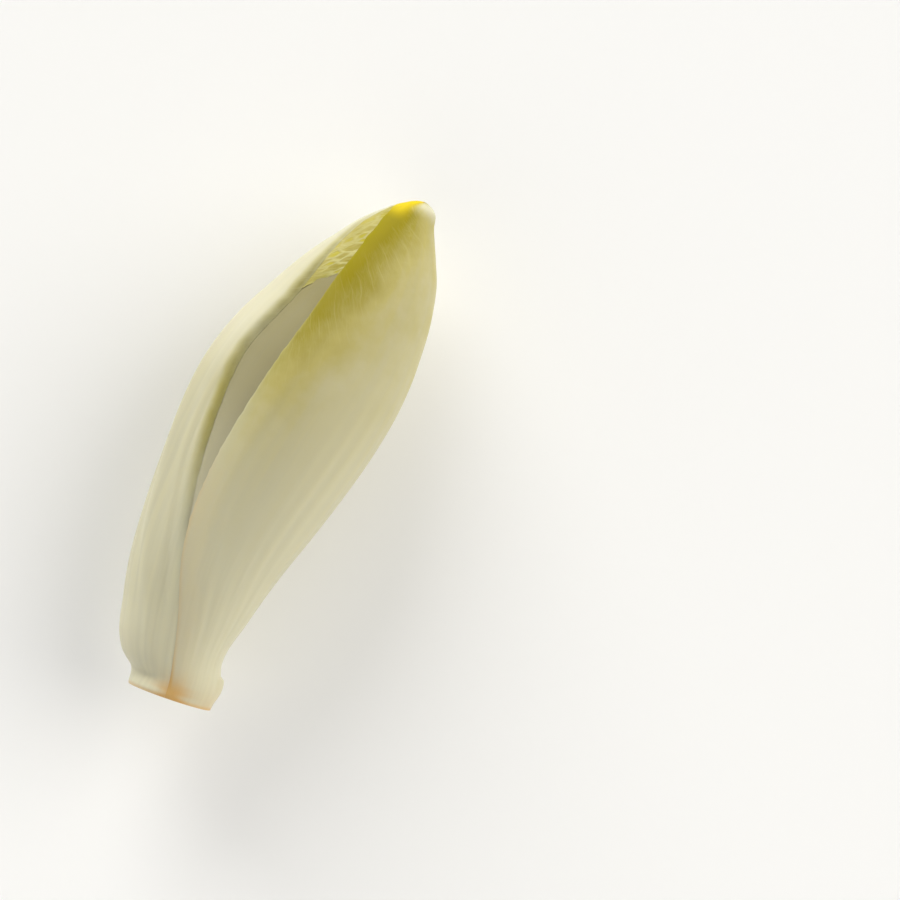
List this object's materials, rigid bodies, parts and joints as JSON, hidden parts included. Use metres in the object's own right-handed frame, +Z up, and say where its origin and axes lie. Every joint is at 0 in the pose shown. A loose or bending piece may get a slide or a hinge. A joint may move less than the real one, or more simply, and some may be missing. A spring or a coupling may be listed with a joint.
{
  "type": "belgian endive",
  "caption": "Head of Belgian endive lying on its side: pale pointed leaves with yellow-green frilled margins, wrapped tightly one over the other round a cut stem and an inner bud.",
  "frame": {"origin": "centre of the bounding box's bottom, on the surface that the head lies on", "axes": "+X along the head from the cut base to the tip of the leaves, +Z up, +Y towards the side that the head bows to"},
  "size_m": [0.153, 0.0544, 0.0513],
  "materials": {
    "leaf": "smooth, crisp and slightly waxy; ivory rib, yellow-green blade towards the tip and the edges",
    "heart": "soft satin, bright yellow",
    "stem": "matte cut face, cream with a thin tan rim where the air has browned it"
  },
  "bodies": {
    "root": {"leaf_01": "leaf", "leaf_02": "leaf", "leaf_03": "leaf", "leaf_04": "leaf", "leaf_05": "leaf", "leaf_06": "leaf", "leaf_07": "leaf", "leaf_08": "leaf", "leaf_09": "leaf", "leaf_10": "leaf", "leaf_11": "leaf", "leaf_12": "leaf", "leaf_13": "leaf", "leaf_14": "leaf", "heart_bud": "heart", "stem_core": "stem"}
  },
  "joints": []
}
